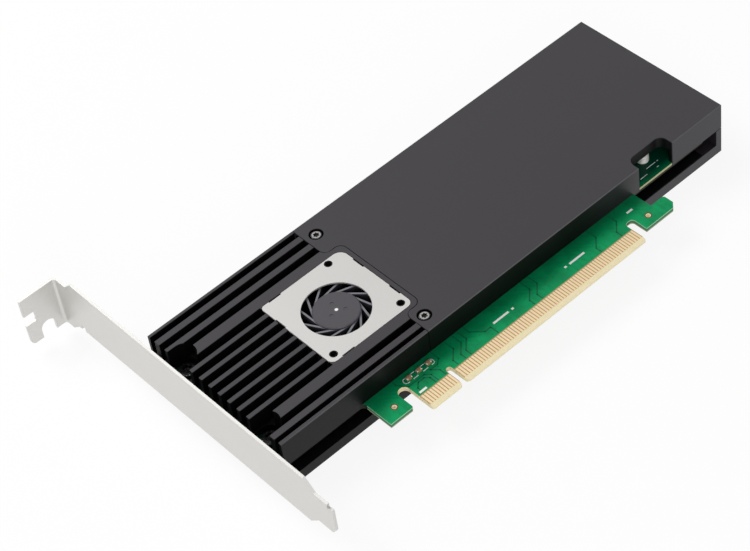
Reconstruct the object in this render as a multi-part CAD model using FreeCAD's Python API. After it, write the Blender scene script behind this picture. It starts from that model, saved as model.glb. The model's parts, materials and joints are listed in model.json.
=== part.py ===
import FreeCAD, Part
import math
import os

from FreeCAD import Vector

# Four-bay solid-state drive adapter card with an aluminium housing and a blower fan.
# Lengths are millimetres. The card lies flat, component side up.
#   X runs along the card, away from the slot bracket. 0 is the centre of the key notch.
#   Y runs up the card, away from the connector. 0 is the tip of the edge tongue.
#   Z is the height above the component side of the circuit board.

# ---- circuit board and edge tongue (standard x16 tongue) ----
BOARD_THICK = 1.6
BOARD_X = (-57.0, 113.2)
BOARD_Y = (15.45, 72.4)
PITCH = 1.0
PAD_WIDTH = 0.7
PAD_THICK = 0.05
PAD_START = 1.35
PAD_END = 5.4
FIRST_PAD = 1.5
SHORT_PADS = 11
LONG_PADS = 71
TONGUE_MARGIN = 0.65
KEY_WIDTH = 1.9
KEY_TOP = 7.5
CORNER_NICK = 0.35
TONGUE_ROUND = 1.1
BEVEL_RUN = 1.3
BEVEL_RISE = 0.45
SHORT_END = -(FIRST_PAD + SHORT_PADS - 1 + TONGUE_MARGIN)
LONG_END = FIRST_PAD + LONG_PADS - 1 + TONGUE_MARGIN

TAB_X = (-24.2, -15.85)
TAB_FOOT = 4.2
RELIEF_TOP = 11.7
HOOK_X = (75.3, 88.1)
HOOK_Y = (2.75, 8.1)
HOOK_ROOT = 82.8
HOOK_SLIT_TOP = 8.6
HOOK_CUT = 1.6
HOOK_ROUND = 0.8
SLIT_ROUND = 1.2
TAB_ROUND = 1.5
TAB_HOLES = ((-19.4, 8.05), (79.4, 6.0))
TAB_HOLE_R = 0.65
ARC_PLAY = 0.02
OVER = 1.0

# ---- aluminium housing ----
SHELL_X = (-53.0, 121.1)
SHELL_Y = (15.2, 73.0)
SHELL_TOP = 8.4
SHELL_FOOT = -10.7
EDGE_BREAK = 0.25
WALL = 1.5
LIP = 0.25
LIP_DROP = 0.8
PLATE_THICK = 3.9
COVER_ROOF = SHELL_TOP - PLATE_THICK
TRAY_FLOOR = SHELL_FOOT + PLATE_THICK
END_WALL = 2.2
SEAM = 0.22
SEAM_X = 1.05
LEDGE_END = 10.0
LOBE_ROUND = 2.5
TAB_CLEARANCE = 1.7
HOOK_CLEARANCE = 0.2

# ---- fins of the heatsink, each from one Y to another ----
FIN_FLOOR = 2.2
BASE_UNDER = 1.0
THIN_FIN = 1.35
FIN_PITCH = 4.07
FIRST_THIN_FIN = 28.4
THIN_FINS = 7
OUTER_WALL = 1.1
LANDS = ((22.4, 25.9), (57.0, 60.6))
WIDE_FINS = ((17.95, 19.9), (63.2, 65.2), (67.7, 69.7))
UNDER_POCKETS = ((-42.0, 8.8, 28.0, 55.0), (-31.0, 0.05, 19.0, 27.0), (-31.0, 0.05, 62.0, 70.0))
UNDER_BOSS = 2.0

# ---- fan ----
FAN_X = (-24.75, 5.75)
FAN_Y = (26.15, 56.85)
FAN_GAP = 0.15
FAN_CORNERS = (2.0, 2.0, 3.0, 1.3)
ROTOR = (-10.45, 40.5)
INTAKE_R = 10.15
LAND_EDGE_X = 7.3
LAND_EDGE_Y = (24.9, 58.45)
LAND_CORNER = 2.3
LAND_START_X = -29.0
FAN_PLATE = 0.5
PLATE_NOTCH = 0.35
PLATE_NOTCHES_RIGHT = ((31.5, 35.9), (46.8, 51.3))
PLATE_NOTCH_LEFT = (46.0, 50.2)
PLATE_NOTCH_LOW = (-20.8, -16.4)
PLATE_NOTCH_HIGH = (-21.7, -17.2)
FAN_FLOOR = 0.7
FAN_WALL = 1.0
FAN_INSIDE_CORNER = 6.0
OUTLET_WALL = 2.4
TIP_CLEARANCE = 0.7
FAN_SCREWS = ((-0.45, 55.2), (3.25, 28.65), (-22.05, 28.65))
FAN_SCREW_R = 1.0
FAN_SHANK_R = 0.7
FAN_HEAD = (0.9, 0.8)
FAN_HEAD_DROP = 1.2
FAN_TIP = 0.6
FAN_POST_R = 1.8
HUB_R = 7.0
HUB_TOP = 8.2
HUB_SKIRT = 3.4
HUB_WALL = 0.4
HUB_CROWN = 0.8
HUB_CHAMFER = 0.3
DIMPLES = (78, 198, 318)
DIMPLE_RING = 2.65
DIMPLE_R = 0.65
DIMPLE_DEPTH = 0.12
SHAFT_BOSS = (1.6, 2.0)
BLADES = 13
BLADE_TIP_R = 12.1
BLADE_THICK = 0.6
BLADE_Z = (3.7, 7.5)
BLADE_PHASE = -20.0
MAGNET_R = 5.7
MAGNET_Z = (3.5, 6.8)
STATOR_Z = (3.5, 5.2)
STATOR_CORE_R = 3.4
POLES = 4
POLE_REACH = 5.0
POLE_HALF = 0.9
SHOE_HALF = 2.2
SHOE_THICK = 0.6
SHAFT_R = 0.75
SHAFT_FOOT = 2.85
TOWER_R = 2.3
TOWER_TOP = 5.4
BUSH_R = 1.5
BUSH_CLEARANCE = 0.04
BUSH_FOOT = FIN_FLOOR + 0.4

# ---- fasteners ----
EAR_SCREWS = ((-50.3, 24.2), (-50.3, 60.1))
EAR_POCKET_R = 3.9
EAR_SCREW_R = 1.5
EAR_HEAD = (2.7, 1.8)
EAR_TIP_GAP = 0.1
COVER_SCREWS = ((4.65, 20.45), (5.0, 66.65))
SPACERS = ((95.0, 22.9), (98.6, 67.0))
HEATSINK_SIDE = ((-36.0, 24.15), (-36.0, 58.8))
COVER_PILLARS = ((50.0, 19.6), (108.5, 48.9))
COVER_SIDE = COVER_PILLARS + SPACERS
SHELL_SCREWS = HEATSINK_SIDE + COVER_SIDE
SHELL_SCREW_R = 1.25
SHELL_HEAD = (2.3, 1.7)
TAP_FOOT = 0.4
HEATSINK_TIP = 6.0
COVER_TIP = SHELL_TOP - 1.8
TIP_GAP = 0.3
COVER_HEAD_R = 1.75
COVER_HEAD_DROP = 0.25
RECESS_DEPTH = 0.6
RECESS_WIDTH = 0.52
HOLE_PLAY = 0.2
SPACER_R = 2.0
SPACER_GROOVE = (1.9, 2.5)
GROOVE_DEPTH = 0.4
PILLAR_R = 3.0
SINK_R = 2.6
COVER_SINK_R = 2.25
SINK_DEPTH = 2.0
HARDWARE_SIDES = 12
SHANK_SIDES = 8
RING_SIDES = 16

# ---- drive bays ----
BAY_Y = (37.7, 60.1)
SOCKET_X = (10.8, 19.4)
SOCKET_WIDTH = 21.9
SOCKET_HEIGHT = 4.2
STANDOFFS = [(94.2, y) for y in BAY_Y]
STANDOFF_R = 2.6
STANDOFF_STEM_R = 1.5
STANDOFF_HEIGHT = 2.45
STANDOFF_BORE_R = 1.0
DRIVE_HEAD = (2.2, 0.9)
DRIVE_SHANK = 2.2
MOUTH_DEPTH = 5.3
MOUTH_Z = (1.9, 3.1)
CHEEK_DEPTH = 2.2
SOCKET_WALL = 1.0
SOCKET_KEY = (-6.3, -5.3)
PAD_SIZE = (68.0, 19.0)
PAD_LEFT = 21.0
PAD_DEPTH = 0.5
FINGER_NOTCH = (85.6, 99.8, 20.1)
NOTCH_ROUND = (2.9, 2.3)

# ---- small parts on the board: centres and sizes ----
CAPACITORS = ((-9.9, 12.4), (-6.15, 12.4), (-2.5, 12.4))
CAPACITOR_SIZE = (2.0, 1.2, 0.9)
CHIP_X = (-38.0, -14.0)
COIL_X = (-29.5, -5.5)
POWER_Y = 52.5
CHIP_SIZE = (5.0, 5.0, 0.9)
COIL_R = 3.6
COIL_HEIGHT = 3.0
CLOCK = (-5.5, 35.5)
BULK_X = 103.75
BULK_Y = (28.0, 34.0, 54.0, 60.0)
BULK_SIZE = (3.5, 2.8, 1.9)
LIGHT_X = 109.4
LIGHT_Y = (26.0, 32.0, 56.0, 62.0)
LIGHT_SIZE = (1.6, 0.8, 0.7)
HEADER = (-20.75, 29.8)
HEADER_SIZE = (6.5, 3.6, 3.4)
HEADER_WALL = 0.65
HEADER_BASE = 0.8

# ---- slot bracket ----
SHEET = 0.86
BRACKET_FACE = -59.05
STRIP_Z = (-3.67, 14.75)
FLANGE_TOP = 108.9
FLANGE_END = -71.6
FLANGE_Z = (-6.9, 11.5)
FLANGE_ROOT = (103.0, 104.3)
FLANGE_ROUND = 1.8
SCREW_SLOT = (-67.9, 1.2, 5.0, 0.9)
SCREW_NOTCH = (-67.4, -62.5, -1.5, 2.4)
STRIP_Y = (-1.7, 99.5)
STRIP_NICK = (97.6, 99.4, -2.1)
TONGUE_TIP = -12.62
TONGUE_NECK = -5.4
TONGUE_Z = (-0.2, 11.3)
TONGUE_HOOK = 2.0
TONGUE_STEP = (0.9, 1.5)
TONGUE_FOOT = (1.5, 2.0, 0.8)
STRIP_SHOULDER = (101.1, -4.1)
BEND_R = 1.8
LIP_END = -55.6
LIP_Y = (4.0, 97.6)
EAR_ROOT = 6.5
EAR_HALF = 3.6
EAR_ROUND = 3.5
NUT_STEM_R = 1.8
NUT_COLLAR_R = 2.8


def box(x0, x1, y0, y1, z0, z1):
    """Block between two corners."""
    return Part.makeBox(x1 - x0, y1 - y0, z1 - z0, Vector(x0, y0, z0))


def around(centre, radius, angle):
    """Point on a circle about a centre."""
    turn = math.radians(angle)
    return centre[0] + radius * math.cos(turn), centre[1] + radius * math.sin(turn)


def post(x, y, radius, z0, z1):
    """Upright cylinder."""
    return Part.makeCylinder(radius, z1 - z0, Vector(x, y, z0))


def peg(x, y, radius, z0, z1, sides=SHANK_SIDES):
    """Upright many-sided peg, for small hardware and for the holes that take it."""
    ring = [Vector(*around((x, y), radius, 360 * i / sides), z0) for i in range(sides)]
    return Part.Face(Part.makePolygon(ring + ring[:1])).extrude(Vector(0, 0, z1 - z0))


def rounded_wire(corners, place):
    """Closed outline from (a, b, corner radius) with true arcs; place maps (a, b) to a point."""
    count = len(corners)
    edges = []
    ends = []
    for i, (a, b, radius) in enumerate(corners):
        before = corners[i - 1]
        after = corners[(i + 1) % count]
        here = Vector(a, b, 0)
        back = (Vector(before[0], before[1], 0) - here).normalize()
        ahead = (Vector(after[0], after[1], 0) - here).normalize()
        if radius == 0:
            ends.append((here, None, here))
            continue
        half = math.acos(max(-1.0, min(1.0, back.dot(ahead)))) / 2
        reach = radius / math.tan(half)
        middle = (back + ahead).normalize()
        top = here + middle * (radius / math.sin(half) - radius)
        ends.append((here + back * reach, top, here + ahead * reach))
    for i, (start, top, finish) in enumerate(ends):
        if top is not None:
            arc = Part.Arc(place(start), place(top), place(finish))
            edges.append(arc.toShape())
        following = ends[(i + 1) % count][0]
        if finish.distanceToPoint(following) > 1e-6:
            edges.append(Part.makeLine(place(finish), place(following)))
    return Part.Wire(edges)


def block_at(x, y, size, z0):
    """Upright block about a centre, on a level."""
    length, width, height = size
    return box(x - length / 2, x + length / 2, y - width / 2, y + width / 2, z0, z0 + height)


def prism(corners, z0, z1):
    """Upright prism with a rounded outline in X and Y."""
    wire = rounded_wire(corners, lambda p: Vector(p.x, p.y, z0))
    return Part.Face(wire).extrude(Vector(0, 0, z1 - z0))


def prism_along_x(corners, x0, x1):
    """Prism along X with a rounded outline in Y and Z."""
    wire = rounded_wire(corners, lambda p: Vector(x0, p.x, p.y))
    return Part.Face(wire).extrude(Vector(x1 - x0, 0, 0))


def prism_along_y(corners, y0, y1):
    """Prism along Y with a rounded outline in X and Z."""
    wire = rounded_wire(corners, lambda p: Vector(p.x, y0, p.y))
    return Part.Face(wire).extrude(Vector(0, y1 - y0, 0))


def rectangle(x0, x1, y0, y1, radii):
    """Corner list of a rectangle with a radius for each corner."""
    return [(x0, y0, radii[0]), (x1, y0, radii[1]), (x1, y1, radii[2]), (x0, y1, radii[3])]


def screw_holes(places, radius, z0, z1, sides=SHANK_SIDES):
    """Pegs that drill one hole at each place."""
    return [peg(x, y, radius, z0, z1, sides) for x, y in places]


def group(solids):
    """Several separate solids of one node."""
    return Part.makeCompound(solids)


def fuse(solids):
    """One solid from overlapping or touching solids."""
    return solids[0].multiFuse(solids[1:]).removeSplitter()


def cut(solid, tools):
    """Solid with every tool taken out of it."""
    return solid.cut(Part.makeCompound(tools)).removeSplitter()


# ---------------------------------------------------------------- board

def circuit_board():
    """Laminate with the bevelled edge tongue, key notch, locating tab and retention hook."""
    x0, x1 = BOARD_X
    y0, y1 = BOARD_Y
    slot = (SHORT_END - TAB_X[1]) / 2 - ARC_PLAY
    key = KEY_WIDTH / 2
    key_round = key - ARC_PLAY
    nick = CORNER_NICK
    outline = [
        (x0, y0, 0), (TAB_X[0], y0, TAB_ROUND), (TAB_X[0], TAB_FOOT, 0), (TAB_X[1] - nick, TAB_FOOT, 0),
        (TAB_X[1], TAB_FOOT + nick, 0), (TAB_X[1], RELIEF_TOP, slot), (SHORT_END, RELIEF_TOP, slot),
        (SHORT_END, nick, 0), (SHORT_END + nick, 0, 0), (-key, 0, TONGUE_ROUND), (-key, KEY_TOP, key_round),
        (key, KEY_TOP, key_round), (key, 0, TONGUE_ROUND), (LONG_END - nick, 0, 0), (LONG_END, nick, 0),
        (LONG_END, HOOK_SLIT_TOP, SLIT_ROUND), (HOOK_X[0], HOOK_SLIT_TOP, SLIT_ROUND),
        (HOOK_X[0], HOOK_Y[0], 0), (HOOK_X[1] - HOOK_CUT, HOOK_Y[0], 0), (HOOK_X[1], HOOK_Y[0] + HOOK_CUT, 0),
        (HOOK_X[1], HOOK_Y[1], HOOK_ROUND), (HOOK_ROOT, HOOK_Y[1], 0), (HOOK_ROOT, y0, 0), (x1, y0, 0),
        (x1, y1, 0), (x0, y1, 0)]
    foot = -BOARD_THICK
    board = prism(outline, foot, 0)
    bevel_top = [(0, -BEVEL_RISE, 0), (-OVER, OVER, 0), (BEVEL_RUN, 0, 0)]
    bevel_foot = [(0, foot + BEVEL_RISE, 0), (BEVEL_RUN, foot, 0), (-OVER, foot - OVER, 0)]
    tongue = (SHORT_END - OVER, LONG_END + OVER)
    through = (foot - OVER, OVER)
    cuts = [prism_along_x(bevel_top, *tongue), prism_along_x(bevel_foot, *tongue)]
    cuts += screw_holes(TAB_HOLES, TAB_HOLE_R, *through, HARDWARE_SIDES)
    cuts += screw_holes(EAR_SCREWS, EAR_SCREW_R + HOLE_PLAY, *through)
    cuts += screw_holes(SHELL_SCREWS, SHELL_SCREW_R + HOLE_PLAY, *through)
    cuts += screw_holes(STANDOFFS, STANDOFF_STEM_R, *through)
    return cut(board, cuts)


def edge_contacts(top):
    """Row of gold contact pads on one side of the tongue."""
    z0 = 0 if top else -BOARD_THICK - PAD_THICK
    left = [-FIRST_PAD - i * PITCH for i in range(SHORT_PADS)]
    right = [FIRST_PAD + i * PITCH for i in range(LONG_PADS)]
    half = PAD_WIDTH / 2
    return group([box(x - half, x + half, PAD_START, PAD_END, z0, z0 + PAD_THICK) for x in left + right])


# ---------------------------------------------------------------- housing

def shell_section(z0, z1, foot_break, top_break):
    """Outer section of the housing in Y and Z, with small broken edges."""
    y0, y1 = SHELL_Y
    t = top_break
    f = foot_break
    section = [(y0 + f, z0, 0), (y1 - f, z0, 0), (y1, z0 + f, 0), (y1, z1 - t, 0),
               (y1 - t, z1, 0), (y0 + t, z1, 0), (y0, z1 - t, 0), (y0, z0 + f, 0)]
    return [p for i, p in enumerate(section) if p[:2] != section[i - 1][:2]]


def board_recess(x0, x1):
    """Space below the component side, inside the housing's lips; the connector side stays open."""
    y0, y1 = SHELL_Y
    return box(x0, x1, y0 + LIP, y1 - LIP, -LIP_DROP - OVER, 0)


def land_outline(offset):
    """Raised land round the fan that the cover is cut back from, grown by an offset."""
    y0, y1 = LAND_EDGE_Y
    corner = LAND_CORNER + offset
    return rectangle(LAND_START_X, LAND_EDGE_X + offset, y0 - offset, y1 + offset, (0, corner, corner, 0))


def lobe_fillets(offset):
    """Corner pieces in the two notches between the block's end and the land, moved along X by an offset."""
    x = SEAM_X + offset
    pieces = []
    for y, side in ((LAND_EDGE_Y[0], -1), (LAND_EDGE_Y[1], 1)):
        cy = y + side * LOBE_ROUND
        square = box(x, x + LOBE_ROUND, min(y, cy), max(y, cy), COVER_ROOF, SHELL_TOP)
        pieces.append(square.cut(post(x + LOBE_ROUND, cy, LOBE_ROUND, COVER_ROOF - OVER, SHELL_TOP + OVER)))
    return pieces


def fin_gaps():
    """Spans in Y between the fins: those behind the fan, and those that run on beside it."""
    starts = [FIRST_THIN_FIN + i * FIN_PITCH for i in range(THIN_FINS)]
    lows = [LANDS[0][1]] + [start + THIN_FIN for start in starts]
    highs = starts + [LANDS[1][0]]
    y0, y1 = SHELL_Y
    long_gaps = ((y0 + OUTER_WALL, WIDE_FINS[0][0]), (WIDE_FINS[0][1], LANDS[0][0]),
                 (LANDS[1][1], WIDE_FINS[1][0]), (WIDE_FINS[1][1], WIDE_FINS[2][0]),
                 (WIDE_FINS[2][1], y1 - OUTER_WALL))
    return zip(lows, highs), long_gaps


def fan_outline(gap):
    """Outline of the fan's top plate, grown by a gap for the pocket that takes it."""
    radii = [radius + gap for radius in FAN_CORNERS]
    return rectangle(FAN_X[0] - gap, FAN_X[1] + gap, FAN_Y[0] - gap, FAN_Y[1] + gap, radii)


def open_side(x0, x1):
    """Cut under the lip on the connector side, where the board's tab, tongue and hook come out."""
    y0 = SHELL_Y[0]
    return box(x0, x1, y0 - OVER, y0 + WALL, -LIP_DROP - OVER, 0)


def finned_heatsink():
    """Machined block with straight fins, the fan pocket and a ledge that carries the cover."""
    x0 = SHELL_X[0]
    y0, y1 = SHELL_Y
    body = prism_along_x(shell_section(-LIP_DROP, SHELL_TOP, 0, EDGE_BREAK), x0, SEAM_X)
    ledge = box(SEAM_X - OVER, LEDGE_END, y0 + WALL + SEAM, y1 - WALL - SEAM, 0, COVER_ROOF)
    land = prism(land_outline(0), 0, SHELL_TOP)
    land = land.common(box(SEAM_X - OVER, LEDGE_END, y0, y1, 0, SHELL_TOP))
    block = fuse([body, ledge, land] + lobe_fillets(0))

    above = SHELL_TOP + OVER
    fan_gaps, long_gaps = fin_gaps()
    channels = [box(x0 - OVER, FAN_X[0], low, high, FIN_FLOOR, above) for low, high in fan_gaps]
    channels += [box(x0 - OVER, SEAM_X, low, high, FIN_FLOOR, above) for low, high in long_gaps]
    pocket = prism(fan_outline(FAN_GAP), FIN_FLOOR, above)

    ear_space = []
    for x, y in EAR_SCREWS:
        ear_space.append(post(x, y, EAR_POCKET_R, -OVER, above))
        ear_space.append(box(x0 - OVER, x, y - EAR_POCKET_R, y + EAR_POCKET_R, -OVER, above))

    boss = (2 * UNDER_BOSS, 2 * UNDER_BOSS, above)
    bosses = Part.makeCompound([block_at(x, y, boss, -OVER) for x, y in FAN_SCREWS])
    underside = [box(*spans, -OVER, BASE_UNDER).cut(bosses) for spans in UNDER_POCKETS]

    taps = screw_holes(HEATSINK_SIDE, SHELL_SCREW_R, -OVER, HEATSINK_TIP + TIP_GAP)
    taps += screw_holes(COVER_SCREWS, SHELL_SCREW_R, TAP_FOOT, COVER_ROOF + OVER)
    taps += screw_holes(FAN_SCREWS, FAN_SHANK_R, TAP_FOOT, FIN_FLOOR + OVER)
    recess = board_recess(x0 - OVER, SEAM_X + OVER)
    side = open_side(TAB_X[0] - TAB_CLEARANCE, SEAM_X + OVER)
    return cut(block, channels + [pocket, recess, side] + underside + ear_space + taps)


def upper_cover():
    """Deep cover over the drive bays: thick roof, side walls, lobes beside the fan and a finger notch."""
    x0 = SEAM_X + SEAM
    x1 = SHELL_X[1]
    y0, y1 = SHELL_Y
    below = -LIP_DROP - OVER
    above = SHELL_TOP + OVER
    body = prism_along_x(shell_section(-LIP_DROP, SHELL_TOP, 0, EDGE_BREAK), x0, x1)
    cavity = box(x0 - OVER, x1 - END_WALL, y0 + WALL, y1 - WALL, below, COVER_ROOF)
    land = prism(land_outline(SEAM), below, above)
    recess = board_recess(x0 - OVER, x1 - END_WALL)
    side = open_side(x0 - OVER, HOOK_ROOT + HOOK_CLEARANCE)
    hollow = cut(body, [cavity, land, recess, side] + lobe_fillets(SEAM))

    left, right, depth = FINGER_NOTCH
    left_round, right_round = NOTCH_ROUND
    notch = prism(rectangle(left, right, y0 - OVER, depth, (0, 0, right_round, left_round)), below, above)
    pillars = screw_holes(COVER_PILLARS, PILLAR_R, 0, SHELL_TOP - OVER)
    heads = [post(x, y, COVER_SINK_R, SHELL_TOP - SINK_DEPTH, above) for x, y in COVER_SCREWS]
    holes = screw_holes(COVER_SCREWS, SHELL_SCREW_R + HOLE_PLAY, COVER_ROOF - OVER, SHELL_TOP)
    taps = screw_holes(COVER_SIDE, SHELL_SCREW_R, below, COVER_TIP + TIP_GAP)
    return cut(fuse([hollow] + pillars), [notch] + heads + holes + taps)


def lower_shell():
    """Thick plate under the card, closed at the far end and one side, open along the connector side."""
    x0, x1 = SHELL_X
    y0, y1 = SHELL_Y
    foot = SHELL_FOOT
    plate = prism_along_x(shell_section(foot, TRAY_FLOOR, EDGE_BREAK, 0), x0, x1)
    side = box(x0, x1, y1 - WALL, y1, TRAY_FLOOR, -LIP_DROP - SEAM)
    end = box(x1 - END_WALL, x1, y0, y1, TRAY_FLOOR, -LIP_DROP - SEAM)
    pillars = screw_holes(SHELL_SCREWS, PILLAR_R, TRAY_FLOOR, -BOARD_THICK, HARDWARE_SIDES)
    shell = fuse([plate, side, end] + pillars)
    board_edge = box(x0 - OVER, x1 - END_WALL, y1 - WALL - OVER, y1 - LIP, -BOARD_THICK, OVER)
    holes = screw_holes(SHELL_SCREWS, SHELL_SCREW_R + HOLE_PLAY, foot - OVER, OVER)
    heads = screw_holes(SHELL_SCREWS, SINK_R, foot - OVER, foot + SINK_DEPTH, HARDWARE_SIDES)
    return cut(shell, [board_edge] + holes + heads)


# ---------------------------------------------------------------- fasteners

def upside_down(solid):
    """Solid turned half a turn about X."""
    solid.rotate(Vector(0, 0, 0), Vector(1, 0, 0), 180)
    return solid


def socket_screw(x, y, head, shank_r, seat, tip):
    """Cap screw, head up on its seat, with a six-sided driver recess."""
    head_r, height = head
    top = seat + height
    cap = peg(x, y, head_r, seat, top, HARDWARE_SIDES)
    shank = peg(x, y, shank_r, tip, seat)
    recess = peg(x, y, RECESS_WIDTH * head_r, top - RECESS_DEPTH * height, top + OVER, 6)
    return cap.fuse(shank).removeSplitter().cut(recess)


def cover_screws():
    """Two screws sunk in the cover, driven into the heatsink's ledge."""
    head = (COVER_HEAD_R, SINK_DEPTH - COVER_HEAD_DROP)
    seat = SHELL_TOP - SINK_DEPTH
    return group([socket_screw(x, y, head, SHELL_SCREW_R, seat, TAP_FOOT) for x, y in COVER_SCREWS])


def shell_screws():
    """Six screws sunk in the underside, through the board and up into the upper parts."""
    seat = SHELL_FOOT + SINK_DEPTH
    screws = []
    for x, y in SHELL_SCREWS:
        tip = HEATSINK_TIP if (x, y) in HEATSINK_SIDE else COVER_TIP
        screw = upside_down(socket_screw(0, 0, SHELL_HEAD, SHELL_SCREW_R, 0, seat - tip))
        screws.append(screw.translated(Vector(x, y, seat)))
    return group(screws)


def shell_spacers():
    """Grooved steel spacers between the board and the cover, round two of the screws."""
    low, high = SPACER_GROOVE
    parts = []
    for x, y in SPACERS:
        lower = peg(x, y, SPACER_R, 0, low, HARDWARE_SIDES)
        neck = peg(x, y, SPACER_R - GROOVE_DEPTH, low, high, HARDWARE_SIDES)
        upper = peg(x, y, SPACER_R, high, COVER_ROOF, HARDWARE_SIDES)
        parts.append(cut(fuse([lower, neck, upper]), [peg(x, y, SHELL_SCREW_R, -OVER, COVER_ROOF + OVER)]))
    return group(parts)


def fan_screws():
    """Three small screws that hold the fan down in its pocket."""
    seat = SHELL_TOP - FAN_HEAD_DROP - FAN_HEAD[1]
    return group([socket_screw(x, y, FAN_HEAD, FAN_SHANK_R, seat, FAN_TIP) for x, y in FAN_SCREWS])


# ---------------------------------------------------------------- fan

def fan_frame():
    """Moulded fan housing: base, walls on three sides, open towards the fins, with a bush tower."""
    x0, x1 = FAN_X
    y0, y1 = FAN_Y
    cx, cy = ROTOR
    top = SHELL_TOP - FAN_PLATE
    above = top + OVER
    floor = FIN_FLOOR + FAN_FLOOR
    outer = prism(rectangle(x0 + 2 * FAN_GAP, x1 - FAN_GAP, y0 + FAN_GAP, y1 - FAN_GAP, FAN_CORNERS),
                  FIN_FLOOR, top)
    chamber = post(cx, cy, BLADE_TIP_R + TIP_CLEARANCE, floor, above)
    inside = (0, FAN_INSIDE_CORNER, FAN_INSIDE_CORNER, 0)
    inner = prism(rectangle(cx, x1 - FAN_WALL, y0 + FAN_WALL, y1 - FAN_WALL, inside), floor, above)
    outlet = box(x0 - OVER, cx, y0 + OUTLET_WALL, y1 - OUTLET_WALL, floor, above)
    posts = Part.makeCompound(screw_holes(FAN_SCREWS, FAN_POST_R, floor, top))
    swept = chamber.fuse([inner.cut(posts), outlet.cut(posts)])
    tower = peg(cx, cy, TOWER_R, FIN_FLOOR, TOWER_TOP, HARDWARE_SIDES)
    frame = fuse([outer.cut(swept), tower])
    seat = SHELL_TOP - FAN_HEAD_DROP - FAN_HEAD[1]
    heads = screw_holes(FAN_SCREWS, FAN_SCREW_R, seat, above, HARDWARE_SIDES)
    shanks = screw_holes(FAN_SCREWS, FAN_SHANK_R, FIN_FLOOR - OVER, top)
    return cut(frame, [peg(cx, cy, BUSH_R, BUSH_FOOT, above, HARDWARE_SIDES)] + heads + shanks)


def fan_top_plate():
    """Thin metal plate over the fan with the round intake and clip notches in its edges."""
    x0, x1 = FAN_X
    y0, y1 = FAN_Y
    below = SHELL_TOP - FAN_PLATE - OVER
    above = SHELL_TOP + OVER
    plate = prism(fan_outline(0), SHELL_TOP - FAN_PLATE, SHELL_TOP)
    cuts = [post(*ROTOR, INTAKE_R, below, above)]
    cuts += screw_holes(FAN_SCREWS, FAN_SCREW_R, below, above, HARDWARE_SIDES)
    cuts += [box(x1 - PLATE_NOTCH, x1 + OVER, *span, below, above) for span in PLATE_NOTCHES_RIGHT]
    cuts.append(box(x0 - OVER, x0 + PLATE_NOTCH, *PLATE_NOTCH_LEFT, below, above))
    cuts.append(box(*PLATE_NOTCH_HIGH, y1 - PLATE_NOTCH, y1 + OVER, below, above))
    cuts.append(box(*PLATE_NOTCH_LOW, y0 - OVER, y0 + PLATE_NOTCH, below, above))
    return cut(plate, cuts)


def fan_impeller():
    """Hub cup with thirteen straight vanes that leave its wall as tangents."""
    cx, cy = ROTOR
    hub = post(cx, cy, HUB_R, HUB_SKIRT, HUB_TOP)
    hub = hub.makeChamfer(HUB_CHAMFER, [e for e in hub.Edges if abs(e.BoundBox.ZMin - HUB_TOP) < 1e-6])
    root = HUB_R - BLADE_THICK
    reach = math.sqrt(BLADE_TIP_R ** 2 - HUB_R ** 2)
    vanes = []
    for i in range(BLADES):
        vane = box(0, reach, root, HUB_R, *BLADE_Z)
        vane.rotate(Vector(0, 0, 0), Vector(0, 0, 1), BLADE_PHASE + i * 360 / BLADES)
        vanes.append(vane.translated(Vector(cx, cy, 0)))
    wheel = fuse([hub] + vanes)
    boss_r, boss_height = SHAFT_BOSS
    cup = peg(cx, cy, HUB_R - HUB_WALL, HUB_SKIRT - OVER, HUB_TOP - HUB_CROWN, RING_SIDES)
    boss = peg(cx, cy, boss_r, HUB_TOP - boss_height, HUB_TOP)
    floor = HUB_TOP - DIMPLE_DEPTH
    dimples = screw_holes([around(ROTOR, DIMPLE_RING, angle) for angle in DIMPLES],
                          DIMPLE_R, floor, HUB_TOP + OVER, HARDWARE_SIDES)
    bore = post(cx, cy, SHAFT_R, HUB_SKIRT - OVER, HUB_TOP + OVER)
    return cut(wheel.cut(cup.cut(boss)), [bore] + dimples)


def magnet_ring():
    """Ring magnet inside the hub cup."""
    low, high = MAGNET_Z
    ring = peg(*ROTOR, HUB_R - HUB_WALL, low, high, RING_SIDES)
    return ring.cut(peg(*ROTOR, MAGNET_R, low - OVER, high + OVER, RING_SIDES))


def fan_shaft():
    """Steel shaft pressed in the hub, with its end level with the hub's top."""
    return post(*ROTOR, SHAFT_R, SHAFT_FOOT, HUB_TOP)


def fan_bush():
    """Sleeve bearing in the tower."""
    sleeve = peg(*ROTOR, BUSH_R, BUSH_FOOT, TOWER_TOP, HARDWARE_SIDES)
    return sleeve.cut(post(*ROTOR, SHAFT_R + BUSH_CLEARANCE, BUSH_FOOT - OVER, TOWER_TOP + OVER))


def fan_stator():
    """Wound poles round the tower."""
    low, high = STATOR_Z
    stem = (STATOR_CORE_R - OVER, POLE_REACH, -POLE_HALF, POLE_HALF)
    shoe = (POLE_REACH - SHOE_THICK, POLE_REACH, -SHOE_HALF, SHOE_HALF)
    parts = [peg(*ROTOR, STATOR_CORE_R, low, high)]
    for i in range(POLES):
        pole = box(*stem, low, high).fuse(box(*shoe, low, high))
        pole.rotate(Vector(0, 0, 0), Vector(0, 0, 1), 360 / POLES * (i + 0.5))
        parts.append(pole.translated(Vector(*ROTOR, 0)))
    return fuse(parts).cut(peg(*ROTOR, TOWER_R, low - OVER, high + OVER, HARDWARE_SIDES))


# ---------------------------------------------------------------- drive bays and parts on the board

def to_solder_side(solid):
    """Solid mirrored from the component side to the solder side."""
    return solid.mirror(Vector(0, 0, -BOARD_THICK / 2), Vector(0, 0, 1))


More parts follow.
